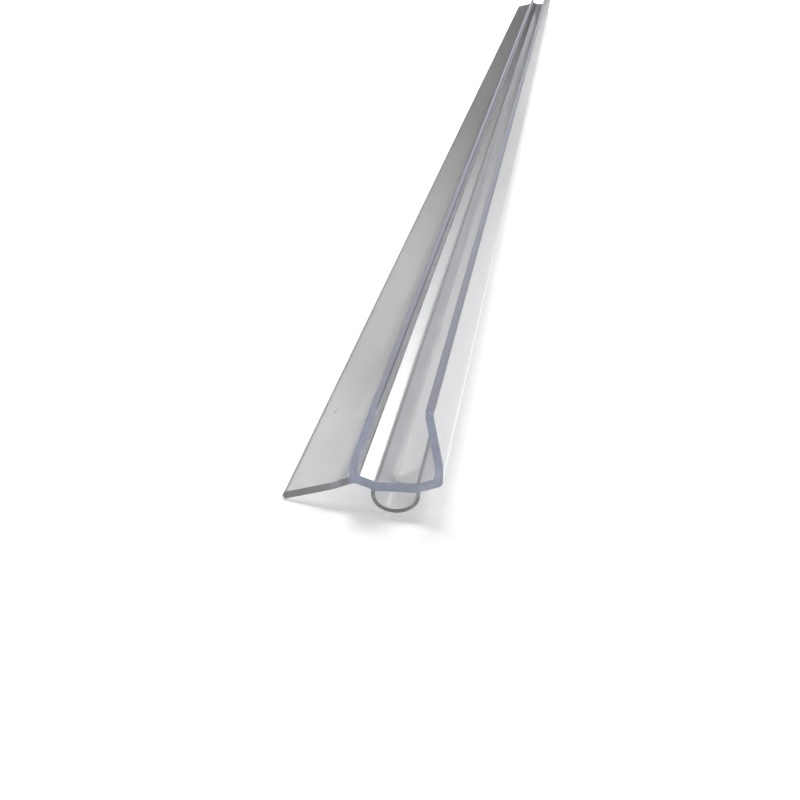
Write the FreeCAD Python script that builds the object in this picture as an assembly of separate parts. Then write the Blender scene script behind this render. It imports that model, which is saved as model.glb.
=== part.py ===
# Clear shower door seal strip, one extruded PVC profile cut to stock length.
#
# The section is a sprung U clip that grips the glass edge, a drip fin that leaves the foot of
# one wall, and a hollow bubble under the base. It is drawn upright in its own plane: u runs
# across the glass, v runs up the glass, and v = 0 is the underside of the base above the bubble.
# The strip runs along Y and lies as it comes to rest: on the fin's tip and on the bubble.
# All sizes are in millimetres and degrees.

import FreeCAD, Part

import math
import os

# Stock
LENGTH = 1000.0

# Clip for 6 to 8 mm glass
CLIP_WIDTH = 11.0            # across the outer faces, at the foot
CLIP_HEIGHT = 10.2           # underside of the base to the tips
WALL = 1.0
BASE = 1.15                  # thickness of the flat middle of the base
SEAT_WIDTH = 4.8             # flat that the edge of the glass rests on
SHOULDER_ANGLE = 18.0        # rise of the base from its flat middle to each wall
SHOULDER_START = 4.8         # width of the flat middle on the underside
BEND_HEIGHT = 3.3            # where the walls start to lean inwards
LEAN = 13.0                  # lean inwards above the bend, of the wall opposite the fin
FIN_SIDE_LEAN = 18.0         # the same, of the wall that carries the fin
BEND_RADIUS = 5.2            # on the inner face
LEAD_IN = 1.1                # depth of the upright face at the mouth

# Drip fin
FIN = 0.85                   # thickness
FIN_REACH = 7.8              # outer face of the clip to the end of the fin
FIN_ROOT_HEIGHT = 1.05       # middle of the fin where it leaves the clip
FIN_ROOT_ANGLE = 21.0        # fall of the fin at its root
FIN_ANGLE = 15.0             # fall of the fin beyond its bend
FIN_BEND_REACH = 2.0         # outer face of the clip to the fin's bend
FIN_BEND_RADIUS = 12.0

# Bubble
BUBBLE_WIDTH = 5.8
BUBBLE_DEPTH = 2.55
BUBBLE_WALL = 0.45
BUBBLE_CROWN_RADIUS = 3.7    # outer, along the bottom
BUBBLE_FLANK_ANGLE = 30.0    # where the crown gives way to the tighter rounds of the two flanks

# Corner radii
FOOT_RADIUS = 0.7            # outer corner of the clip, away from the fin
SEAT_CREASE_RADIUS = 1.5
INNER_FOOT_RADIUS = 0.4
LEAD_IN_RADIUS = 1.0
TIP_OUTER_RADIUS = 0.4
TIP_INNER_RADIUS = 0.25
FIN_TOP_RADIUS = 0.5         # between the fin and the wall
FIN_UNDER_RADIUS = 1.2       # between the fin and the underside of the base
BUBBLE_ROOT_RADIUS = 0.2
BORE_CORNER_RADIUS = 0.12

TOUCHING = 1e-6              # two rounds closer than this run straight into each other


def ahead(point, angle, distance):
    """The point at a distance along a direction, given in degrees above +u."""
    turn = math.radians(angle)
    return (point[0] + distance * math.cos(turn), point[1] + distance * math.sin(turn))


def meet(point_a, angle_a, point_b, angle_b):
    """Where two lines cross, each given by a point and a direction."""
    turn_a, turn_b = math.radians(angle_a), math.radians(angle_b)
    du, dv = point_b[0] - point_a[0], point_b[1] - point_a[1]
    across = du * math.sin(turn_b) - dv * math.cos(turn_b)
    return ahead(point_a, angle_a, across / math.sin(turn_b - turn_a))


def mirrored(corners):
    """The same corners on the other side of the glass, in the order that keeps the outline going."""
    return [((-u, v), radius) for (u, v), radius in reversed(corners)]


def wall_corners(lean):
    """A wall opposite the fin, from the outer corner of the clip to the crease of the seat."""
    outer_face = CLIP_WIDTH / 2
    inner_face = outer_face - WALL
    leaning = 90 + lean
    outer_bend = (outer_face, BEND_HEIGHT)
    inner_bend = (inner_face, BEND_HEIGHT - WALL * math.tan(math.radians(lean / 2)))
    outer_tip = meet(outer_bend, leaning, (0, CLIP_HEIGHT), 0)
    mouth = meet(inner_bend, leaning, (0, CLIP_HEIGHT - LEAD_IN), 0)
    crease = (SEAT_WIDTH / 2, BASE)
    return [
        (on_underside(outer_face), FOOT_RADIUS),
        (outer_bend, BEND_RADIUS + WALL),
        (outer_tip, TIP_OUTER_RADIUS),
        ((mouth[0], CLIP_HEIGHT), TIP_INNER_RADIUS),
        (mouth, LEAD_IN_RADIUS),
        (inner_bend, BEND_RADIUS),
        (meet(crease, SHOULDER_ANGLE, inner_bend, 90), INNER_FOOT_RADIUS),
        (crease, SEAT_CREASE_RADIUS),
    ]


def on_underside(u):
    """The point of the rising underside at a distance from the middle of the clip."""
    return meet((SHOULDER_START / 2, 0), SHOULDER_ANGLE, (u, 0), 90)


def fin_centre_line():
    """Root, bend and end of the middle of the fin; the end is the centre of the rounded tip."""
    outer_face = -CLIP_WIDTH / 2
    root = (outer_face, FIN_ROOT_HEIGHT)
    bend = meet(root, 180 + FIN_ROOT_ANGLE, (outer_face - FIN_BEND_REACH, 0), 90)
    end = meet(bend, 180 + FIN_ANGLE, (outer_face - FIN_REACH + FIN / 2, 0), 90)
    return root, bend, end


def fin_corners():
    """The fin, from its root on the wall, round its tip and back to the underside of the base."""
    root, bend, end = fin_centre_line()
    from_root, to_end = 180 + FIN_ROOT_ANGLE, 180 + FIN_ANGLE
    square = ahead(end, to_end, FIN / 2)
    half_bend = math.radians(FIN_ROOT_ANGLE - FIN_ANGLE) / 2
    up_at_bend = 90 + (FIN_ROOT_ANGLE + FIN_ANGLE) / 2
    to_side = FIN / 2 / math.cos(half_bend)
    top_root = ahead(root, from_root - 90, FIN / 2)
    under_root = ahead(root, from_root + 90, FIN / 2)
    shoulder = (-SHOULDER_START / 2, 0)
    return [
        (meet(top_root, from_root, root, 90), FIN_TOP_RADIUS),
        (ahead(bend, up_at_bend, to_side), FIN_BEND_RADIUS - FIN / 2),
        (ahead(square, to_end - 90, FIN / 2), FIN / 2),
        (ahead(square, to_end + 90, FIN / 2), FIN / 2),
        (ahead(bend, up_at_bend, -to_side), FIN_BEND_RADIUS + FIN / 2),
        (meet(under_root, from_root, shoulder, 180 - SHOULDER_ANGLE), FIN_UNDER_RADIUS),
    ]


def bubble_corners(inset):
    """Crown and flank of half the bubble, on its outside or inset from it; the two rounds meet."""
    slope = math.radians(BUBBLE_FLANK_ANGLE)
    crown_radius = BUBBLE_CROWN_RADIUS - inset
    side = BUBBLE_WIDTH / 2 - inset
    crown = (0, inset - BUBBLE_DEPTH - crown_radius * (1 / math.cos(slope) - 1))
    flank = meet(crown, BUBBLE_FLANK_ANGLE, (side, 0), 90)
    flank_radius = side / math.sin(slope) - crown_radius
    return [(crown, crown_radius), (flank, flank_radius)]


def outer_corners():
    """The whole outline, round from the crown of the bubble towards the wall without the fin."""
    crown, flank = bubble_corners(0)
    side = [flank, (on_underside(BUBBLE_WIDTH / 2), BUBBLE_ROOT_RADIUS)]
    wall, fin_side_wall = wall_corners(LEAN), wall_corners(FIN_SIDE_LEAN)
    return [crown] + side + wall + mirrored(fin_side_wall[1:]) + fin_corners() + mirrored(side)


def bore_corners():
    """The hollow of the bubble, closed above by the underside of the base."""
    crown, flank = bubble_corners(BUBBLE_WALL)
    side = [flank, ((BUBBLE_WIDTH / 2 - BUBBLE_WALL, 0), BORE_CORNER_RADIUS)]
    return [crown] + side + mirrored(side)


def in_section(point):
    """A point of the section as a vector in the plane of the near end."""
    return FreeCAD.Vector(point[0], -LENGTH / 2, point[1])


def heading(start, end):
    """The direction from one point to another, in degrees above +u."""
    return math.degrees(math.atan2(end[1] - start[1], end[0] - start[0]))


def rounded(before, corner, after, radius, seam):
    """Centre of the arc that rounds a corner, and the directions from it to the ends of its edges.

    A convex arc that passes the seam's direction is two edges that meet there.
    """
    onto, away = heading(before, corner), heading(corner, after)
    turn = (away - onto + 180) % 360 - 180
    side = math.copysign(90, turn)
    start = ahead(corner, onto, -radius * math.tan(math.radians(abs(turn) / 2)))
    first = onto - side
    to_seam = (seam - first) % 360
    stops = [first, first + to_seam, first + turn] if to_seam < turn else [first, first + turn]
    return ahead(start, onto + side, radius), stops


def closed_outline(corners, seam):
    """A closed wire of straight sides, with each corner rounded by its own radius."""
    arcs = []
    for number, (corner, radius) in enumerate(corners):
        before, after = corners[number - 1][0], corners[(number + 1) % len(corners)][0]
        centre, stops = rounded(before, corner, after, radius, seam)
        for start, end in zip(stops, stops[1:]):
            along = (start, (start + end) / 2, end)
            arcs.append([in_section(ahead(centre, angle, radius)) for angle in along])
    edges = []
    here = arcs[-1][2]
    for start, middle, end in arcs:
        if not here.isEqual(start, TOUCHING):
            edges.append(Part.LineSegment(here, start).toShape())
        edges.append(Part.Arc(start, middle, end).toShape())
        here = end
    return Part.Wire(edges)


def resting_tilt():
    """How far the profile rolls towards its fin until the fin's tip and the bubble are level."""
    end = fin_centre_line()[2]
    crown = (0, BUBBLE_CROWN_RADIUS - BUBBLE_DEPTH)
    level = (BUBBLE_CROWN_RADIUS - FIN / 2) / math.dist(end, crown)
    rise = math.atan2(crown[1] - end[1], crown[0] - end[0])
    return math.degrees(math.asin(level) - rise)


def seal_strip():
    """The strip at rest, centred over the origin with its lowest line on z = 0.

    The rounds that carry it are divided where they touch the floor, so that a faceted copy
    rests on the same two lines.
    """
    floor_side = -90 - resting_tilt()
    outlines = [closed_outline(corners, floor_side) for corners in (outer_corners(), bore_corners())]
    section = Part.makeFace(outlines, "Part::FaceMakerBullseye")
    strip = section.extrude(FreeCAD.Vector(0, LENGTH, 0))
    strip.rotate(FreeCAD.Vector(0, 0, 0), FreeCAD.Vector(0, -1, 0), resting_tilt())
    box = strip.optimalBoundingBox()
    strip.translate(FreeCAD.Vector(-(box.XMin + box.XMax) / 2, 0, -box.ZMin))
    return strip


os.makedirs("parts", exist_ok=True)
seal_strip().exportStep("parts/seal_strip.step")
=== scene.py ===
import math

import bpy
from mathutils import Matrix, Vector


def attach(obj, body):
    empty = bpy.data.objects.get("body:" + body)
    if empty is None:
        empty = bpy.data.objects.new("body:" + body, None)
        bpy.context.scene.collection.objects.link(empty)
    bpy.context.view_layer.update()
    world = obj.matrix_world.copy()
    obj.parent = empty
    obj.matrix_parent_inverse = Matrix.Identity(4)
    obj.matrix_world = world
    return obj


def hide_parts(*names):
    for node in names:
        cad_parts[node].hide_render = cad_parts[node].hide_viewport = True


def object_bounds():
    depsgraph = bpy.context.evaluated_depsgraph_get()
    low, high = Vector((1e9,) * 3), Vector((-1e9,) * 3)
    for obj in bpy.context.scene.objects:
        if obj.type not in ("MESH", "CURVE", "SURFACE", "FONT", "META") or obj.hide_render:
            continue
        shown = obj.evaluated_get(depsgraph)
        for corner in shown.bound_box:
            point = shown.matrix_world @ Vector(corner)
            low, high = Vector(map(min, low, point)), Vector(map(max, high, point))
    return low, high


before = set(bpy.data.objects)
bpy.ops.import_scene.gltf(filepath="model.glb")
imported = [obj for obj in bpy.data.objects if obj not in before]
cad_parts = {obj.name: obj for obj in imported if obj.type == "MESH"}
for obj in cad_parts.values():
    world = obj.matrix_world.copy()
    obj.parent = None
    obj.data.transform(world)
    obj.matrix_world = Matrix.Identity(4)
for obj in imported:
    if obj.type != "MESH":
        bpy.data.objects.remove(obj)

NODE = "seal_strip"
CAD_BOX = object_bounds()
STRIP_LENGTH = CAD_BOX[1].y - CAD_BOX[0].y
MM = 0.001
WELD = 0.002 * MM

bl_info = {
    "name": "Shower Door Seal Strip",
    "version": (1, 0, 0),
    "blender": (4, 5, 0),
    "location": "3D View > Sidebar > Seal Strip",
    "description": "Builds a clear extruded shower door seal strip on a white sweep",
    "category": "Add Mesh",
}


def size(name, text, default):
    """A length that a user may change, given in millimetres and kept in metres."""
    return bpy.props.FloatProperty(
        name=name, description=text, default=default * MM, unit="LENGTH", precision=5
    )


def angle(name, text, default):
    """An angle that a user may change, given in degrees and kept in radians."""
    return bpy.props.FloatProperty(
        name=name, description=text, default=math.radians(default), subtype="ANGLE"
    )


def share(name, text, default):
    """A share from nought to one."""
    return bpy.props.FloatProperty(
        name=name, description=text, default=default, min=0, max=1, subtype="FACTOR"
    )


def colour(name, text, default):
    """A linear colour."""
    return bpy.props.FloatVectorProperty(
        name=name, description=text, default=default, min=0, max=1, subtype="COLOR"
    )


def number(name, text, default):
    """A plain number, nought or more."""
    return bpy.props.FloatProperty(name=name, description=text, default=default, min=0)


def place(name, text, default):
    """A point in the frame, in metres."""
    return bpy.props.FloatVectorProperty(
        name=name, description=text, default=default, subtype="TRANSLATION", precision=4
    )


class SectionSizes(bpy.types.PropertyGroup):
    """Sizes of the extruded section, as the strip lies in its own upright plane."""

    clip_width: size("Clip width", "Across the outer faces at the foot", 11.0)
    clip_height: size("Clip height", "Underside of the base to the wall tips", 10.2)
    wall: size("Wall", "Thickness of the two walls", 1.0)
    base: size("Base", "Thickness of the flat middle of the base", 1.15)
    seat_width: size("Seat width", "Flat that the edge of the glass rests on", 4.8)
    shoulder_angle: angle("Shoulder angle", "Rise of the base from its flat to each wall", 18.0)
    shoulder_start: size("Shoulder start", "Width of the flat middle on the underside", 4.8)
    bend_height: size("Bend height", "Where the walls start to lean inwards", 3.3)
    lean: angle("Lean", "Lean inwards of the wall opposite the fin, above its bend", 13.0)
    fin_side_lean: angle("Fin side lean", "The same, of the wall that carries the fin", 18.0)
    bend_radius: size("Bend radius", "Radius of the bend on the inner face", 5.2)
    lead_in: size("Lead-in", "Depth of the upright face at the mouth", 1.1)
    fin: size("Fin", "Thickness of the drip fin", 0.85)
    fin_reach: size("Fin reach", "Outer face of the clip to the end of the fin", 7.8)
    fin_root_height: size("Fin root height", "Middle of the fin where it leaves the clip", 1.05)
    fin_root_angle: angle("Fin root angle", "Fall of the fin at its root", 21.0)
    fin_angle: angle("Fin angle", "Fall of the fin beyond its bend", 15.0)
    fin_bend_reach: size("Fin bend reach", "Outer face of the clip to the fin's bend", 2.0)
    fin_bend_radius: size("Fin bend radius", "Radius of the middle of the fin at its bend", 12.0)
    bubble_width: size("Bubble width", "Across the outside of the bubble", 5.8)
    bubble_depth: size("Bubble depth", "Underside of the base to the bottom of the bubble", 2.55)
    bubble_wall: size("Bubble wall", "Thickness of the bubble's wall", 0.45)
    crown_radius: size("Crown radius", "Outer radius along the bottom of the bubble", 3.7)
    flank_angle: angle("Flank angle", "Where the crown gives way to the tighter flanks", 30.0)
    foot_radius: size("Foot radius", "Outer corner of the clip, away from the fin", 0.7)
    crease_radius: size("Crease radius", "Between the seat and its shoulders", 1.5)
    inner_foot_radius: size("Inner foot radius", "Between a shoulder and its wall", 0.4)
    lead_in_radius: size("Lead-in radius", "Between the leaning wall and the mouth", 1.0)
    tip_outer_radius: size("Outer tip radius", "Outer corner of each wall tip", 0.4)
    tip_inner_radius: size("Inner tip radius", "Inner corner of each wall tip", 0.25)
    fin_top_radius: size("Fin top radius", "Between the fin and the wall", 0.5)
    fin_under_radius: size("Fin under radius", "Between the fin and the underside", 1.2)
    bubble_root_radius: size("Bubble root radius", "Where the bubble leaves the base", 0.2)
    bore_corner_radius: size("Bore corner radius", "Upper corners of the bubble's hollow", 0.12)


class LengthSizes(bpy.types.PropertyGroup):
    """How the section runs along the strip, and how finely it is divided."""

    length: bpy.props.FloatProperty(
        name="Length", description="Sold length of the strip", default=STRIP_LENGTH, unit="LENGTH"
    )
    stations: bpy.props.IntProperty(
        name="Stations", description="Sections along the strip", default=121, min=2
    )
    corner_step: angle("Corner step", "Largest turn between two points of a round", 5.0)
    rim: size("Rim", "Softened edge of the two sawn ends", 0.08)
    rim_steps: bpy.props.IntProperty(name="Rim steps", description="Faces across the rim", default=2, min=1)
    rim_angle: angle("Rim angle", "Edges sharper than this are softened", 60.0)
    smooth_angle: angle("Smooth angle", "Edges sharper than this stay sharp", 20.0)


class Finish(bpy.types.PropertyGroup):
    """Colours, clearness, gloss and marks of the clear plastic, with the shade painted into some of its
    tints.
    """

    rigid: colour("Rigid tint", "What the clip's faces let through", (0.96, 0.965, 0.985))
    soft: colour("Soft tint", "What the fin and the bubble let through", (0.96, 0.96, 0.955))
    # Painted shade: the wall opposite the fin is tinted darker than the clip's own plastic.
    wall: colour("Wall", "What the wall opposite the fin lets through", (0.64, 0.65, 0.68))
    tip: colour("Wall tips", "Edges of the walls, seen down their height", (0.33, 0.34, 0.40))
    # Painted shade: a dark line along the fin's rounded outer edge.
    edge: colour("Fin edge", "Rounded outer edge of the fin", (0.45, 0.45, 0.45))
    # Painted shade where the fin meets the clip, with the bluer tint of the thicker plastic there.
    root: colour("Fin root", "Where the fin thickens into the wall", (0.62, 0.62, 0.70))
    # Painted shade: the seat darkens towards the wall opposite the fin.
    seat: colour("Seat", "What the seat lets through away from the fin", (0.82, 0.83, 0.86))
    # Painted shade: a dark line in the crease between the seat and the fin's shoulder.
    crease: colour("Crease", "The crease between the seat and the fin's shoulder", (0.55, 0.55, 0.57))
    speck: colour("Specks", "Two dark specks in the fin", (0.04, 0.04, 0.04))
    sawn_rigid: colour("Sawn clip", "Cut faces of the clip", (0.44, 0.48, 0.63))
    sawn_soft: colour("Sawn fin", "Cut faces of the fin and the bubble", (0.31, 0.31, 0.32))
    pale: colour("Pale patches", "Where the saw left the cut faces lighter", (0.66, 0.70, 0.80))

    ior: number("IOR", "Refraction of the plastic", 1.53)
    clearness: share("Clearness", "Share of light that passes the faces", 0.82)
    base_clearness: share("Base clearness", "The same, of the base", 0.7)
    left_clearness: share("Left clearness", "The same, of the seat towards the fin", 0.35)
    inner_clearness: share("Inner clearness", "The same, inside the fin's wall", 0.3)
    tip_clearness: share("Tip clearness", "The same, of the wall tips", 0.15)
    sawn_clearness: share("Sawn clearness", "The same, of the sawn ends", 0.35)

    gloss_roughness: share("Roughness", "Roughness of the extruded faces", 0.08)
    line_roughness: share("Line roughness", "Roughness added by the die lines", 0.06)
    tip_roughness: share("Tip roughness", "Roughness added on the wall tips", 0.85)
    wall_roughness: share("Wall roughness", "Roughness added on the wall opposite the fin", 0.11)
    inner_roughness: share("Inner roughness", "Roughness added inside the fin's wall", 0.25)
    sawn_roughness: share("Sawn roughness", "Roughness of the sawn ends", 0.35)

    line_scale: number("Die lines", "Fineness of the die lines across the section", 2600.0)
    line_depth: size("Die line depth", "Depth of the lines that the die draws", 0.004)
    peel_scale: number("Peel", "Fineness of the orange peel", 160.0)
    peel_stretch: share("Peel stretch", "Fineness of the peel along the strip over that across it", 0.2)
    peel_depth: size("Peel depth", "Depth of the orange peel", 0.02)
    cloud_scale: number("Clouds", "Fineness of the clouds in the tint", 60.0)
    cloud_share: share("Cloud share", "How far the clouds change the tint", 0.10)

    patch_scale: number("Patches", "Fineness of the pale patches", 420.0)
    patch_share: share("Patch share", "How pale the patches get", 0.8)
    grain_scale: number("Sawn grain", "Fineness of the mottling on the sawn ends", 900.0)
    grain_share: share("Sawn grain share", "How far the mottling changes the tint", 0.5)
    saw_scale: number("Saw marks", "Fineness of the saw marks", 700.0)
    saw_angle: bpy.props.FloatProperty(
        name="Saw angle", description="Turn of the saw marks", default=0.35, subtype="ANGLE"
    )
    saw_squeeze: number("Saw squeeze", "How much closer the marks lie than they are long", 12.0)
    saw_depth: size("Saw mark depth", "Depth of the saw marks", 0.03)


class StageSettings(bpy.types.PropertyGroup):
    """The white floor, the soft lights and the lens."""

    floor_half: size("Floor", "Half the side of the floor", 6000.0)
    floor_drop: size("Floor drop", "How far the floor lies below the strip", 0.02)
    floor_colour: colour("Floor colour", "Colour of the pale floor", (0.8, 0.8, 0.8))
    floor_glow: share("Floor glow", "Light added to the floor for the camera", 0.36)
    # Painted light: seen through the plastic, the floor glows brighter at the near end and fades to grey
    # further back.
    near_glow: share("Near glow", "The same, seen through the near end of the plastic", 0.62)
    far_glow: share("Far glow", "The same, seen through the plastic further back", 0.03)
    grey_start: size("Grey start", "Where the floor starts to darken behind the plastic", -500.0)
    grey_end: size("Grey end", "Where it is darkest", -80.0)
    world_colour: colour("Surroundings", "Grey of the studio round the floor", (0.2, 0.2, 0.2))

    panel_distance: size("Panel distance", "How far back the panel stands", 1500.0)
    panel_left: size("Panel left", "Left edge of the panel", -460.0)
    panel_right: size("Panel right", "Right edge of the panel", 450.0)
    panel_top: size("Panel top", "Top edge of the panel", 900.0)
    panel_soft: size("Panel softness", "Width over which its left edge fades", 150.0)
    panel_low: size("Panel low", "Bottom edge of the panel", 20.0)
    panel_high: size("Panel high", "Height at which it reaches its full power", 520.0)
    panel_power: number("Panel power", "Brightness of the whole panel", 1.0)
    glint_left: size("Glint left", "Left edge of the bright band on the panel", 90.0)
    glint_right: size("Glint right", "Right edge of the band", 240.0)
    glint_soft: size("Glint softness", "Width over which both its edges fade", 50.0)
    glint_low: size("Glint low", "Height at which the band's brightest part starts", 500.0)
    glint_high: size("Glint high", "Height at which it reaches its full power", 570.0)
    glint_base: number("Glint base", "Brightness added by the band below that part", 0.8)
    glint_power: number("Glint power", "Brightness added by its brightest part", 3.5)

    light_aim: place("Light aim", "Where both lights point", (0.0, -0.4, 0.0))
    top_place: place("Top light", "Middle of the main light", (-0.26, 0.64, 1.18))
    top_side: size("Top light side", "Side of the main light", 600.0)
    top_power: number("Top light power", "Watts of the main light", 19.0)
    fill_place: place("Fill light", "Middle of the light that opens up the seat", (0.5, 0.1, 1.1))
    fill_width: size("Fill light width", "Width of the fill light", 300.0)
    fill_height: size("Fill light height", "Height of the fill light", 600.0)
    fill_power: number("Fill light power", "Watts of the fill light", 5.0)
    lens: number("Lens", "Focal length in millimetres", 90.0)


def heading(start, end):
    """The direction from one point to another, above +u."""
    return math.atan2(end[1] - start[1], end[0] - start[0])


def ahead(point, turn, distance):
    """The point at a distance along a direction."""
    return (point[0] + distance * math.cos(turn), point[1] + distance * math.sin(turn))


def meet(point_a, turn_a, point_b, turn_b):
    """Where two lines cross, each given by a point and a direction."""
    du, dv = point_b[0] - point_a[0], point_b[1] - point_a[1]
    across = du * math.sin(turn_b) - dv * math.cos(turn_b)
    return ahead(point_a, turn_a, across / math.sin(turn_b - turn_a))


def mirrored(corners):
    """The same corners on the other side of the glass, in the order that keeps the outline going."""
    return [((-u, v), radius) for (u, v), radius in reversed(corners)]


UP = math.pi / 2
OUT = math.pi


class Section:
    """The strip's section as two rounded outlines, each a list of corners with a radius."""

    def __init__(self, sizes):
        self.sizes = sizes

    def on_underside(self, u):
        """The point of the rising underside at a distance from the middle of the clip."""
        s = self.sizes
        return meet((s.shoulder_start / 2, 0), s.shoulder_angle, (u, 0), UP)

    def wall(self, lean):
        """A wall opposite the fin, from the clip's outer corner to the crease of the seat."""
        s = self.sizes
        outer = s.clip_width / 2
        outer_bend = (outer, s.bend_height)
        inner_bend = (outer - s.wall, s.bend_height - s.wall * math.tan(lean / 2))
        mouth = meet(inner_bend, UP + lean, (0, s.clip_height - s.lead_in), 0)
        crease = (s.seat_width / 2, s.base)
        return [
            (self.on_underside(outer), s.foot_radius),
            (outer_bend, s.bend_radius + s.wall),
            (meet(outer_bend, UP + lean, (0, s.clip_height), 0), s.tip_outer_radius),
            ((mouth[0], s.clip_height), s.tip_inner_radius),
            (mouth, s.lead_in_radius),
            (inner_bend, s.bend_radius),
            (meet(crease, s.shoulder_angle, inner_bend, UP), s.inner_foot_radius),
            (crease, s.crease_radius),
        ]

    def fin_middle(self):
        """Root, bend and end of the middle of the fin."""
        s = self.sizes
        outer = -s.clip_width / 2
        root = (outer, s.fin_root_height)
        bend = meet(root, OUT + s.fin_root_angle, (outer - s.fin_bend_reach, 0), UP)
        end = meet(bend, OUT + s.fin_angle, (outer - s.fin_reach + s.fin / 2, 0), UP)
        return root, bend, end

    def fin(self):
        """The fin, from its root on the wall, round its tip and back to the underside."""
        s = self.sizes
        root, bend, end = self.fin_middle()
        from_root, to_end, half = OUT + s.fin_root_angle, OUT + s.fin_angle, s.fin / 2
        square = ahead(end, to_end, half)
        up_at_bend = UP + (s.fin_root_angle + s.fin_angle) / 2
        to_side = half / math.cos((s.fin_root_angle - s.fin_angle) / 2)
        top, under = ahead(root, from_root - UP, half), ahead(root, from_root + UP, half)
        shoulder = (-s.shoulder_start / 2, 0)
        return [
            (meet(top, from_root, root, UP), s.fin_top_radius),
            (ahead(bend, up_at_bend, to_side), s.fin_bend_radius - half),
            (ahead(square, to_end - UP, half), half),
            (ahead(square, to_end + UP, half), half),
            (ahead(bend, up_at_bend, -to_side), s.fin_bend_radius + half),
            (meet(under, from_root, shoulder, OUT - s.shoulder_angle), s.fin_under_radius),
        ]

    def bubble(self, inset):
        """Crown and flank of half the bubble, on its outside or inset from it."""
        s = self.sizes
        crown_radius, side = s.crown_radius - inset, s.bubble_width / 2 - inset
        drop = crown_radius * (1 / math.cos(s.flank_angle) - 1)
        crown = (0, inset - s.bubble_depth - drop)
        flank = meet(crown, s.flank_angle, (side, 0), UP)
        return [(crown, crown_radius), (flank, side / math.sin(s.flank_angle) - crown_radius)]

    def outlines(self):
        """The outer outline, and the bore's the other way round."""
        s = self.sizes
        crown, flank = self.bubble(0)
        side = [flank, (self.on_underside(s.bubble_width / 2), s.bubble_root_radius)]
        wall, fin_side_wall = self.wall(s.lean), self.wall(s.fin_side_lean)
        outer = [crown] + side + wall + mirrored(fin_side_wall[1:]) + self.fin() + mirrored(side)
        crown, flank = self.bubble(s.bubble_wall)
        side = [flank, ((s.bubble_width / 2 - s.bubble_wall, 0), s.bore_corner_radius)]
        bore = [crown] + side + mirrored(side)
        return outer, bore[::-1]

    def roll(self):
        """How far the section rolls towards its fin until the fin's tip and the bubble are level."""
        s = self.sizes
        end, crown = self.fin_middle()[2], (0, s.crown_radius - s.bubble_depth)
        return math.asin((s.crown_radius - s.fin / 2) / math.dist(end, crown)) - heading(end, crown)

    def to_row(self):
        """The turn and the shift that lay the section in the row frame, on the fin and the bubble."""
        turn = Matrix.Rotation(self.roll(), 2)
        tip = turn @ Vector(self.fin_middle()[2])
        half = self.sizes.fin / 2
        return turn, Vector((CAD_BOX[0].x + half, CAD_BOX[0].z + half)) - tip


def add(tree, kind, inputs=None, **settings):
    """A node with its settings, its plain inputs and its links."""
    node = tree.nodes.new(kind)
    for name, value in settings.items():
        setattr(node, name, value)
    for name, value in (inputs or {}).items():
        if isinstance(value, bpy.types.NodeSocket):
            tree.links.new(value, node.inputs[name])
        else:
            node.inputs[name].default_value = value
    return node


def calculate(tree, operation, first, second=0.0, third=0.0):
    """One sum on numbers."""
    return add(tree, "ShaderNodeMath", {0: first, 1: second, 2: third}, operation=operation).outputs[0]


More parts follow.
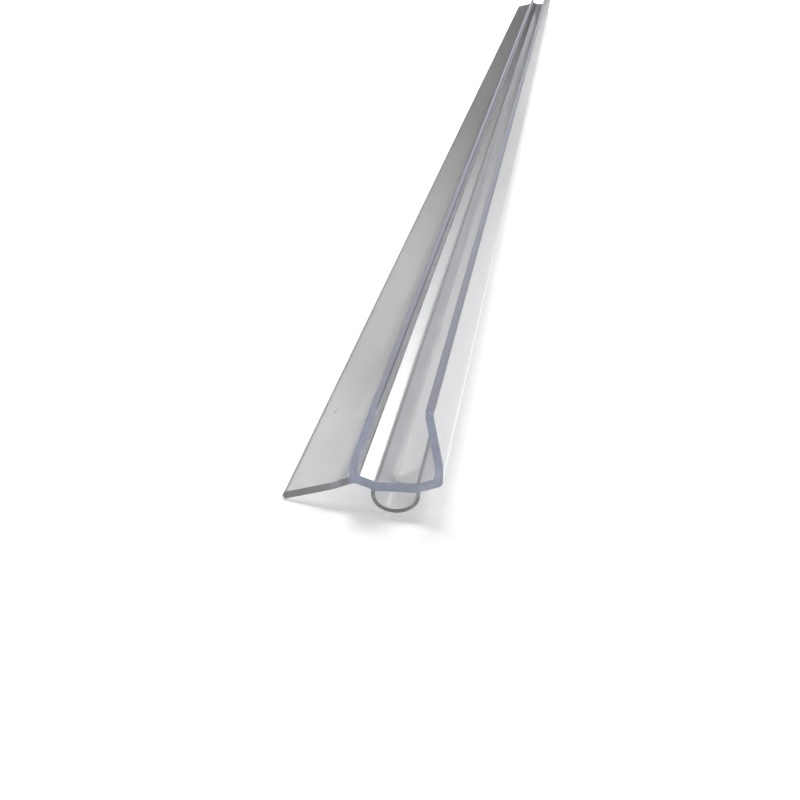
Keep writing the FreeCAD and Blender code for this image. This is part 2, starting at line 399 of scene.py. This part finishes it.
def extrusion_tree():
    """Sweeps a rounded outline along the strip, closes its two sawn ends and gives the finishes."""
    tree = bpy.data.node_groups.new("Seal strip extrusion", "GeometryNodeTree")
    face = tree.interface
    for name, kind in (
        ("Geometry", "NodeSocketGeometry"),
        ("Length", "NodeSocketFloat"),
        ("Stations", "NodeSocketInt"),
        ("Extruded", "NodeSocketMaterial"),
        ("Sawn", "NodeSocketMaterial"),
    ):
        face.new_socket(name, in_out="INPUT", socket_type=kind)
    face.new_socket("Geometry", in_out="OUTPUT", socket_type="NodeSocketGeometry")
    given = add(tree, "NodeGroupInput").outputs

    corners = add(tree, "GeometryNodeMeshToCurve", {"Mesh": given["Geometry"]})
    radius = add(tree, "GeometryNodeInputNamedAttribute", {"Name": "corner_radius"}, data_type="FLOAT")
    steps = add(tree, "GeometryNodeInputNamedAttribute", {"Name": "corner_steps"}, data_type="INT")
    rounds = add(
        tree,
        "GeometryNodeFilletCurve",
        {"Curve": corners.outputs[0], "Count": steps.outputs[0], "Radius": radius.outputs[0]},
        mode="POLY",
    ).outputs[0]
    wire = add(tree, "GeometryNodeCurveToMesh", {"Curve": rounds}).outputs[0]
    wire = add(tree, "GeometryNodeMergeByDistance", {"Geometry": wire, "Distance": WELD}).outputs[0]
    outline = add(tree, "GeometryNodeMeshToCurve", {"Mesh": wire}).outputs[0]

    half = calculate(tree, "MULTIPLY", given["Length"], 0.5)
    near = add(tree, "ShaderNodeCombineXYZ", {"Y": calculate(tree, "MULTIPLY", half, -1.0)}).outputs[0]
    far = add(tree, "ShaderNodeCombineXYZ", {"Y": half}).outputs[0]
    line = add(tree, "GeometryNodeCurvePrimitiveLine", {"Start": near, "End": far}).outputs[0]
    path = add(tree, "GeometryNodeResampleCurve", {"Curve": line, "Count": given["Stations"]}).outputs[0]
    sides = add(tree, "GeometryNodeCurveToMesh", {"Curve": path, "Profile Curve": outline}).outputs[0]
    sides = add(tree, "GeometryNodeFlipFaces", {"Mesh": sides}).outputs[0]
    sides = add(tree, "GeometryNodeSetMaterial", {"Geometry": sides, "Material": given["Extruded"]})

    flat = add(tree, "GeometryNodeFillCurve", {"Curve": outline}, mode="NGONS").outputs[0]
    turn = (-UP, 0, 0)
    far_cap = add(
        tree, "GeometryNodeTransform", {"Geometry": flat, "Translation": far, "Rotation": turn}
    ).outputs[0]
    near_cap = add(
        tree, "GeometryNodeTransform", {"Geometry": flat, "Translation": near, "Rotation": turn}
    ).outputs[0]
    near_cap = add(tree, "GeometryNodeFlipFaces", {"Mesh": near_cap}).outputs[0]
    caps = add(tree, "GeometryNodeJoinGeometry", {"Geometry": far_cap})
    tree.links.new(near_cap, caps.inputs[0])
    sawn = add(tree, "GeometryNodeSetMaterial", {"Geometry": caps.outputs[0], "Material": given["Sawn"]})

    whole = add(tree, "GeometryNodeJoinGeometry", {"Geometry": sides.outputs[0]})
    tree.links.new(sawn.outputs[0], whole.inputs[0])
    welded = add(
        tree, "GeometryNodeMergeByDistance", {"Geometry": whole.outputs[0], "Distance": WELD}
    ).outputs[0]
    solid = add(tree, "GeometryNodeRealizeInstances", {"Geometry": welded}).outputs[0]
    out = add(tree, "NodeGroupOutput")
    tree.links.new(solid, out.inputs[0])
    return tree


def outline_mesh(sizes, corner_step):
    """The corners of both outlines in the row frame, with the radius and fineness of each."""
    section = Section(sizes)
    turn, shift = section.to_row()
    points, edges, radii, steps = [], [], [], []
    for outline in section.outlines():
        first, count = len(points), len(outline)
        for number, (corner, radius) in enumerate(outline):
            before, after = outline[number - 1][0], outline[(number + 1) % count][0]
            bend = (heading(corner, after) - heading(before, corner) + OUT) % (2 * OUT) - OUT
            x, z = turn @ Vector(corner) + shift
            points.append((x, -z, 0))
            edges.append((first + number, first + (number + 1) % count))
            radii.append(radius)
            steps.append(max(2, math.ceil(abs(bend) / corner_step)))
    mesh = bpy.data.meshes.new("Seal strip outline")
    mesh.from_pydata(points, edges, [])
    mesh.attributes.new("corner_radius", "FLOAT", "POINT").data.foreach_set("value", radii)
    mesh.attributes.new("corner_steps", "INT", "POINT").data.foreach_set("value", steps)
    return mesh


def set_input(modifier, name, value):
    """Sets one named input of a geometry tree on the modifier that runs it."""
    sockets = modifier.node_group.interface.items_tree
    socket = next(s for s in sockets if s.name == name and s.in_out == "INPUT")
    modifier[socket.identifier] = value


def plain_piece(maker, name):
    """The finished result of an object's modifiers, as a plain mesh on a new object."""
    bpy.context.view_layer.update()
    evaluated = maker.evaluated_get(bpy.context.evaluated_depsgraph_get())
    mesh = bpy.data.meshes.new_from_object(evaluated)
    piece = bpy.data.objects.new(name, mesh)
    bpy.context.scene.collection.objects.link(piece)
    bpy.data.objects.remove(maker)
    return piece


def material(name):
    """An empty material with its tree, its Principled shader and its output."""
    made = bpy.data.materials.new(name)
    made.use_nodes = True
    made.node_tree.nodes.clear()
    shader = made.node_tree.nodes.new("ShaderNodeBsdfPrincipled")
    out = made.node_tree.nodes.new("ShaderNodeOutputMaterial")
    made.node_tree.links.new(shader.outputs[0], out.inputs["Surface"])
    return made, made.node_tree, shader


def section_place(tree, sizes):
    """The place of a point in the upright section: u across the glass and v up it."""
    turn, shift = Section(sizes).to_row()
    back = -(turn.inverted() @ shift)
    coordinates = add(tree, "ShaderNodeTexCoord").outputs["Object"]
    upright = add(
        tree,
        "ShaderNodeMapping",
        {
            "Vector": coordinates,
            "Location": (back.x, 0, back.y),
            "Rotation": (0, Section(sizes).roll(), 0),
        },
        vector_type="POINT",
    ).outputs[0]
    apart = add(tree, "ShaderNodeSeparateXYZ", {0: upright})
    return coordinates, upright, apart.outputs["X"], apart.outputs["Z"]


def ramp(tree, value, low, high):
    """Nought at low, one at high, smooth between."""
    return add(
        tree,
        "ShaderNodeMapRange",
        {"Value": value, "From Min": low, "From Max": high},
        interpolation_type="SMOOTHSTEP",
    ).outputs[0]


def mix(tree, factor, first, second):
    """Two colours mixed."""
    node = add(tree, "ShaderNodeMix", {0: factor}, data_type="RGBA")
    for socket, value in ((node.inputs[6], first), (node.inputs[7], second)):
        if isinstance(value, bpy.types.NodeSocket):
            tree.links.new(value, socket)
        else:
            socket.default_value = (*value, 1)
    return node.outputs[2]


def fade(tree, value, stretch, origin=0.0):
    """Nought to one over a stretch in millimetres, counted from an origin."""
    start, end = stretch
    return ramp(tree, value, origin + start * MM, origin + end * MM)


def both(tree, first, second):
    """The share of two zones taken together."""
    return calculate(tree, "MULTIPLY", first, second)


def noise(tree, where, scale, detail):
    """Cloudy noise at a place."""
    return add(tree, "ShaderNodeTexNoise", {"Vector": where, "Scale": scale, "Detail": detail}).outputs[0]


def mottled(tree, tint, pattern, amount):
    """A tint that a pattern makes lighter and darker about its own value."""
    shade = calculate(tree, "MULTIPLY_ADD", pattern, amount, 1 - amount / 2)
    return add(tree, "ShaderNodeVectorMath", {0: tint, "Scale": shade}, operation="SCALE").outputs[0]


def bumped(tree, height, depth, **normal):
    """A bump of a given depth, laid over a normal where one is given."""
    return add(tree, "ShaderNodeBump", {"Height": height, "Distance": depth, **normal}).outputs[0]


# Where each zone of the finish goes from nought to full, in millimetres from the size it belongs to.
SOFT_FIN = (0.2, -0.3)         # u, from the clip's outer face on the fin's side
SOFT_BUBBLE = (0.05, -0.15)    # v, from the underside of the base
SHADED_WALL_RISE = (0.8, 2.0)         # v, from the top of the base
SHADED_WALL_SIDE = (0.0, 1.0)         # u, from the middle of the clip
TIP = (-0.8, -0.5)             # v, from the wall tips
# The next span carries the painted dark line along the fin's outer edge.
FIN_EDGE_SHADE = (0.6, 0.35)         # u, from the end of the fin
# The next two spans carry the painted shade at the fin's root.
ROOT_SHADE_OUT = (-1.6, -0.1)        # u, from the clip's outer face on the fin's side
ROOT_SHADE_IN = (0.3, 0.1)           # the same
SEAT_FLOOR = (-0.3, -0.1)      # v, from the top of the base
SEAT_TOP = (1.2, 0.7)          # the same
# The next two spans carry the painted dark line in the crease.
CREASE_SHADE_OUT = (-0.35, -0.2)     # u, from the edge of the seat on the fin's side
CREASE_SHADE_IN = (0.35, 0.2)        # the same
SEAT_EDGE = (-0.1, 0.0)        # the same
INNER_FACE = (0.4, 0.6)        # u, from the fin's wall at the same height
INNER_SIDE = (-1.6, -2.0)      # u, from the middle of the clip
INNER_RISE = (0.7, 0.9)        # v, from the top of the base
LEFT_START = 0.6 * MM          # u at which the seat starts to get less clear towards the fin
# Painted shade on the seat starts here and deepens towards the wall opposite the fin.
SEAT_SHADE_START = -0.8 * MM        # u at which it starts to darken away from the fin
PATCHES = (0.5, 0.75)          # values of the noise between which a pale patch comes up

SPECKS = ((-7.28 * MM, -463.85 * MM, 0), (-8.94 * MM, -484.75 * MM, 0))
SPECK_SIZE = 0.25 * MM

LINE_DETAIL = 3.0
PEEL_DETAIL = 2.0
CLOUD_DETAIL = 4.0


def soft_share(tree, sizes, u, v):
    """One on the soft fin and bubble, nought on the rigid clip."""
    fin = fade(tree, u, SOFT_FIN, -sizes.clip_width / 2)
    return calculate(tree, "MAXIMUM", fin, fade(tree, v, SOFT_BUBBLE))


def inner_share(tree, sizes, u, v):
    """One on the inside of the fin's wall."""
    above = calculate(tree, "MAXIMUM", calculate(tree, "SUBTRACT", v, sizes.bend_height))
    upright = calculate(tree, "MULTIPLY_ADD", above, -math.tan(sizes.fin_side_lean), u)
    inner = fade(tree, upright, INNER_FACE, -sizes.clip_width / 2)
    inner = both(tree, inner, fade(tree, u, INNER_SIDE))
    return both(tree, inner, fade(tree, v, INNER_RISE, sizes.base))


class Zones:
    """The share that each zone of the extruded faces has at a point of the section."""

    def __init__(self, tree, sizes, u, v):
        outer, edge = -sizes.clip_width / 2, -sizes.seat_width / 2
        self.soft = soft_share(tree, sizes, u, v)
        # The wall opposite the fin: its tint is painted darker there as shade, and its roughness is raised.
        self.wall = both(tree, fade(tree, v, SHADED_WALL_RISE, sizes.base), fade(tree, u, SHADED_WALL_SIDE))
        self.tip = fade(tree, v, TIP, sizes.clip_height)
        self.edge_shade = fade(tree, u, FIN_EDGE_SHADE, outer - sizes.fin_reach)
        # The fin's root, where painted shade darkens it.
        self.root = both(tree, fade(tree, u, ROOT_SHADE_OUT, outer), fade(tree, u, ROOT_SHADE_IN, outer))
        self.base = both(tree, fade(tree, v, SEAT_FLOOR, sizes.base), fade(tree, v, SEAT_TOP, sizes.base))
        left = both(tree, self.base, ramp(tree, u, LEFT_START, edge))
        self.left = both(tree, left, fade(tree, u, SEAT_EDGE, edge))
        # The seat away from the fin, where painted shade darkens it.
        self.right = both(tree, self.base, ramp(tree, u, SEAT_SHADE_START, -edge))
        # The crease, where a dark line of painted shade lies.
        crease = both(tree, fade(tree, u, CREASE_SHADE_OUT, edge), fade(tree, u, CREASE_SHADE_IN, edge))
        self.crease = both(tree, crease, self.base)
        self.inner = inner_share(tree, sizes, u, v)


def zoned_tint(tree, zones, finish, coordinates):
    """The tint of the extruded faces, zone over zone, with the specks in the fin and painted shade on the
    far wall, the fin's edge and root, the seat and its crease.
    """
    tint = mix(tree, zones.soft, tuple(finish.rigid), tuple(finish.soft))
    # Painted shade: the wall opposite the fin is made darker.
    tint = mix(tree, zones.wall, tint, tuple(finish.wall))
    tint = mix(tree, zones.tip, tint, tuple(finish.tip))
    level = add(tree, "ShaderNodeMapping", {"Vector": coordinates, "Scale": (1, 1, 0)}).outputs[0]
    for speck in SPECKS:
        away = add(tree, "ShaderNodeVectorMath", {0: level, 1: speck}, operation="DISTANCE")
        spot = ramp(tree, away.outputs["Value"], SPECK_SIZE, SPECK_SIZE / 2)
        tint = mix(tree, spot, tint, tuple(finish.speck))
    # Painted shade: a dark line on the fin's edge, a darker band at its root, the seat darker towards the
    # far wall, and a dark line in its crease.
    for share_there, shade in (
        (zones.edge_shade, finish.edge),
        (zones.root, finish.root),
        (zones.right, finish.seat),
        (zones.crease, finish.crease),
    ):
        tint = mix(tree, share_there, tint, tuple(shade))
    return tint


def extruded_material(sizes, finish):
    """Clear extruded faces: faint tint with painted shade in some zones, die lines along the strip, and a
    soft orange peel.
    """
    made, tree, shader = material("Clear extruded plastic")
    coordinates, upright, u, v = section_place(tree, sizes)
    zones = Zones(tree, sizes, u, v)
    drawn = add(tree, "ShaderNodeMapping", {"Vector": upright, "Scale": (1, 0, 1)}).outputs[0]
    along = (1, finish.peel_stretch, 1)
    flow = add(tree, "ShaderNodeMapping", {"Vector": upright, "Scale": along}).outputs[0]
    lines = noise(tree, drawn, finish.line_scale, LINE_DETAIL)
    peel = noise(tree, flow, finish.peel_scale, PEEL_DETAIL)
    cloud = noise(tree, coordinates, finish.cloud_scale, CLOUD_DETAIL)

    tint = mottled(tree, zoned_tint(tree, zones, finish, coordinates), cloud, finish.cloud_share)
    rough = calculate(tree, "MULTIPLY_ADD", lines, finish.line_roughness, finish.gloss_roughness)
    rough = calculate(tree, "MULTIPLY_ADD", zones.tip, finish.tip_roughness, rough)
    rough = calculate(tree, "MULTIPLY_ADD", zones.wall, finish.wall_roughness, rough)
    rough = calculate(tree, "MULTIPLY_ADD", zones.inner, finish.inner_roughness, rough)
    clear = finish.clearness
    for share_there, change in (
        (zones.base, finish.base_clearness - finish.clearness),
        (zones.left, finish.left_clearness - finish.base_clearness),
        (zones.inner, finish.inner_clearness - finish.clearness),
        (zones.tip, finish.tip_clearness - finish.clearness),
    ):
        clear = calculate(tree, "MULTIPLY_ADD", share_there, change, clear)
    ridges = bumped(tree, lines, finish.line_depth)
    tree.links.new(tint, shader.inputs["Base Color"])
    tree.links.new(rough, shader.inputs["Roughness"])
    tree.links.new(clear, shader.inputs["Transmission Weight"])
    tree.links.new(bumped(tree, peel, finish.peel_depth, Normal=ridges), shader.inputs["Normal"])
    shader.inputs["IOR"].default_value = finish.ior
    return made


def sawn_material(sizes, finish):
    """Sawn ends: the plastic seen down its length, darker and bluish on the clip, with saw marks."""
    made, tree, shader = material("Clear sawn plastic")
    coordinates, upright, u, v = section_place(tree, sizes)
    soft = soft_share(tree, sizes, u, v)
    tint = mix(tree, soft, tuple(finish.sawn_rigid), tuple(finish.sawn_soft))
    patch = noise(tree, coordinates, finish.patch_scale, LINE_DETAIL)
    pale = calculate(tree, "MULTIPLY", ramp(tree, patch, *PATCHES), finish.patch_share)
    tint = mix(tree, pale, tint, tuple(finish.pale))
    grain = noise(tree, coordinates, finish.grain_scale, CLOUD_DETAIL)
    sweep = add(
        tree,
        "ShaderNodeMapping",
        {"Vector": upright, "Rotation": (0, finish.saw_angle, 0), "Scale": (1, 1, finish.saw_squeeze)},
    ).outputs[0]
    marks = noise(tree, sweep, finish.saw_scale, LINE_DETAIL)
    tree.links.new(mottled(tree, tint, grain, finish.grain_share), shader.inputs["Base Color"])
    tree.links.new(bumped(tree, marks, finish.saw_depth), shader.inputs["Normal"])
    shader.inputs["Transmission Weight"].default_value = finish.sawn_clearness
    shader.inputs["Roughness"].default_value = finish.sawn_roughness
    shader.inputs["IOR"].default_value = finish.ior
    return made


class SEAL_OT_strip(bpy.types.Operator):
    """Extrude the clear seal strip and give it its finishes."""

    bl_idname = "seal.strip"
    bl_label = "Extrude Seal Strip"

    def execute(self, context):
        scene = context.scene
        sizes, run, finish = scene.seal_section, scene.seal_run, scene.seal_finish
        maker = bpy.data.objects.new("Outline", outline_mesh(sizes, run.corner_step))
        scene.collection.objects.link(maker)
        sweep = maker.modifiers.new("Extrusion", "NODES")
        sweep.node_group = extrusion_tree()
        set_input(sweep, "Length", run.length)
        set_input(sweep, "Stations", run.stations)
        set_input(sweep, "Extruded", extruded_material(sizes, finish))
        set_input(sweep, "Sawn", sawn_material(sizes, finish))
        rim = maker.modifiers.new("Rim", "BEVEL")
        rim.width = run.rim
        rim.segments = run.rim_steps
        rim.limit_method = "ANGLE"
        rim.angle_limit = run.rim_angle
        strip = plain_piece(maker, "clear_seal_strip")
        if len(strip.data.polygons) == 0:
            raise RuntimeError("the extrusion made no faces")
        strip.data.shade_smooth()
        strip.data.set_sharp_from_angle(angle=run.smooth_angle)
        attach(strip, "root")
        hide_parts(NODE)
        return {"FINISHED"}


CAMERA_PLACE = (15.74 * MM, -723.20 * MM, 72.78 * MM)
CAMERA_RIGHT = (0.990186, 0.08494, 0.110397)
CAMERA_UP = (-0.128399, 0.2471, 0.960439)
SENSOR_WIDTH = 36.0            # millimetres
CLIP_START = 10 * MM


def add_camera(lens):
    """The camera at the photograph's place and roll."""
    camera = bpy.data.objects.new("Camera", bpy.data.cameras.new("Camera"))
    camera.data.lens = lens
    camera.data.sensor_width = SENSOR_WIDTH
    camera.data.clip_start = CLIP_START
    right = Vector(CAMERA_RIGHT).normalized()
    up = Vector(CAMERA_UP)
    up = (up - up.dot(right) * right).normalized()
    turn = Matrix((right, up, right.cross(up))).transposed()
    camera.matrix_world = Matrix.Translation(CAMERA_PLACE) @ turn.to_4x4()
    bpy.context.scene.collection.objects.link(camera)
    bpy.context.scene.camera = camera


def add_light(name, middle, aim, width, height, power):
    """One soft light, aimed at a point."""
    light = bpy.data.lights.new(name, "AREA")
    light.shape = "RECTANGLE"
    light.size, light.size_y = width, height
    light.energy = power
    lamp = bpy.data.objects.new(name, light)
    toward = Vector(aim) - Vector(middle)
    lamp.matrix_world = Matrix.Translation(middle) @ toward.to_track_quat("-Z", "Y").to_matrix().to_4x4()
    bpy.context.scene.collection.objects.link(lamp)


def panel_material(settings):
    """A dim panel with a brighter upright band, both fading downwards."""
    made = bpy.data.materials.new("Lit panel")
    made.use_nodes = True
    tree = made.node_tree
    tree.nodes.clear()
    coordinates = add(tree, "ShaderNodeTexCoord").outputs["Object"]
    apart = add(tree, "ShaderNodeSeparateXYZ", {0: coordinates})
    across, up = apart.outputs["X"], apart.outputs["Z"]
    left = ramp(tree, across, settings.glint_left, settings.glint_left + settings.glint_soft)
    right = ramp(tree, across, settings.glint_right, settings.glint_right - settings.glint_soft)
    rise = ramp(tree, up, settings.glint_low, settings.glint_high)
    dawn = ramp(tree, up, settings.panel_low, settings.panel_high)
    below = calculate(tree, "MULTIPLY", dawn, settings.glint_base)
    height = calculate(tree, "MULTIPLY_ADD", rise, settings.glint_power, below)
    band = both(tree, both(tree, left, right), height)
    broad = ramp(tree, across, settings.panel_left, settings.panel_left + settings.panel_soft)
    broad = calculate(tree, "MULTIPLY", both(tree, broad, dawn), settings.panel_power)
    glow = add(tree, "ShaderNodeEmission", {"Strength": calculate(tree, "ADD", broad, band)})
    out = add(tree, "ShaderNodeOutputMaterial")
    tree.links.new(glow.outputs[0], out.inputs["Surface"])
    return made


def add_panel(settings):
    """The lit panel behind the strip, which its faces mirror."""
    mesh = bpy.data.meshes.new("Lit panel")
    left, right = settings.panel_left, settings.panel_right
    low, high = settings.panel_low, settings.panel_top
    corners = [(left, 0, low), (right, 0, low), (right, 0, high), (left, 0, high)]
    mesh.from_pydata(corners, [], [(0, 1, 2, 3)])
    mesh.materials.append(panel_material(settings))
    panel = bpy.data.objects.new("Lit panel", mesh)
    panel.location.y = settings.panel_distance
    panel.visible_camera = False
    bpy.context.scene.collection.objects.link(panel)


def floor_material(settings):
    """A matt floor, white to the camera but for the shadow; through the plastic it shows a painted glow,
    bright at the near end and fading to grey further back.
    """
    made, tree, shader = material("White floor")
    coordinates = add(tree, "ShaderNodeTexCoord").outputs["Object"]
    along = add(tree, "ShaderNodeSeparateXYZ", {0: coordinates}).outputs["Y"]
    seen = add(tree, "ShaderNodeLightPath").outputs["Is Camera Ray"]
    # Painted light: a glow seen through the plastic, fading from the near end towards the back.
    distance = ramp(tree, along, settings.grey_start, settings.grey_end)
    through = calculate(
        tree, "MULTIPLY_ADD", distance, settings.far_glow - settings.near_glow, settings.near_glow
    )
    glow = add(tree, "ShaderNodeMix", {0: seen, 2: through, 3: settings.floor_glow}, data_type="FLOAT")
    tree.links.new(glow.outputs[0], shader.inputs["Emission Strength"])
    shader.inputs["Base Color"].default_value = (*settings.floor_colour, 1)
    shader.inputs["Emission Color"].default_value = (1, 1, 1, 1)
    shader.inputs["Roughness"].default_value = 1.0
    shader.inputs["Specular IOR Level"].default_value = 0.0
    return made


def add_floor(settings):
    """A wide square floor, a hair below the strip."""
    half = settings.floor_half
    mesh = bpy.data.meshes.new("Floor")
    corners = [(-half, -half, 0), (half, -half, 0), (half, half, 0), (-half, half, 0)]
    mesh.from_pydata(corners, [], [(0, 1, 2, 3)])
    mesh.materials.append(floor_material(settings))
    floor = bpy.data.objects.new("Floor", mesh)
    floor.location.z = -settings.floor_drop
    bpy.context.scene.collection.objects.link(floor)


class SEAL_OT_stage(bpy.types.Operator):
    """Lay the white floor, hang the soft lights and place the camera."""

    bl_idname = "seal.stage"
    bl_label = "Set Stage"

    def execute(self, context):
        settings = context.scene.seal_stage
        add_floor(settings)
        world = bpy.data.worlds.new("Studio")
        world.use_nodes = True
        background = world.node_tree.nodes["Background"]
        background.inputs["Color"].default_value = (*settings.world_colour, 1)
        context.scene.world = world
        context.scene.view_settings.view_transform = "Standard"
        add_panel(settings)
        top, fill, aim = settings.top_place, settings.fill_place, settings.light_aim
        add_light("Top light", top, aim, settings.top_side, settings.top_side, settings.top_power)
        add_light("Fill light", fill, aim, settings.fill_width, settings.fill_height, settings.fill_power)
        add_camera(settings.lens)
        if context.scene.camera is None:
            raise RuntimeError("the stage has no camera")
        return {"FINISHED"}


class SEAL_PT_panel(bpy.types.Panel):
    """Lists what the strip and its stage are built from."""

    bl_label = "Seal Strip"
    bl_idname = "SEAL_PT_panel"
    bl_space_type = "VIEW_3D"
    bl_region_type = "UI"
    bl_category = "Seal Strip"

    def draw(self, context):
        for operator in (SEAL_OT_strip, SEAL_OT_stage):
            self.layout.operator(operator.bl_idname)
        for name in GROUPS:
            group = getattr(context.scene, name)
            box = self.layout.box()
            for prop in group.bl_rna.properties:
                if not prop.is_readonly and prop.identifier != "name":
                    box.prop(group, prop.identifier)


GROUPS = {
    "seal_section": SectionSizes,
    "seal_run": LengthSizes,
    "seal_finish": Finish,
    "seal_stage": StageSettings,
}
CLASSES = (*GROUPS.values(), SEAL_OT_strip, SEAL_OT_stage, SEAL_PT_panel)


def register():
    """Adds the classes and hangs each group of settings on the scene."""
    for cls in CLASSES:
        bpy.utils.register_class(cls)
    for name, group in GROUPS.items():
        setattr(bpy.types.Scene, name, bpy.props.PointerProperty(type=group))


def unregister():
    """Takes the settings and the classes away again."""
    for name in GROUPS:
        delattr(bpy.types.Scene, name)
    for cls in reversed(CLASSES):
        bpy.utils.unregister_class(cls)


def main():
    """Registers the add-on and builds the strip and its stage."""
    register()
    bpy.ops.seal.strip()
    bpy.ops.seal.stage()


if __name__ == "__main__":
    main()
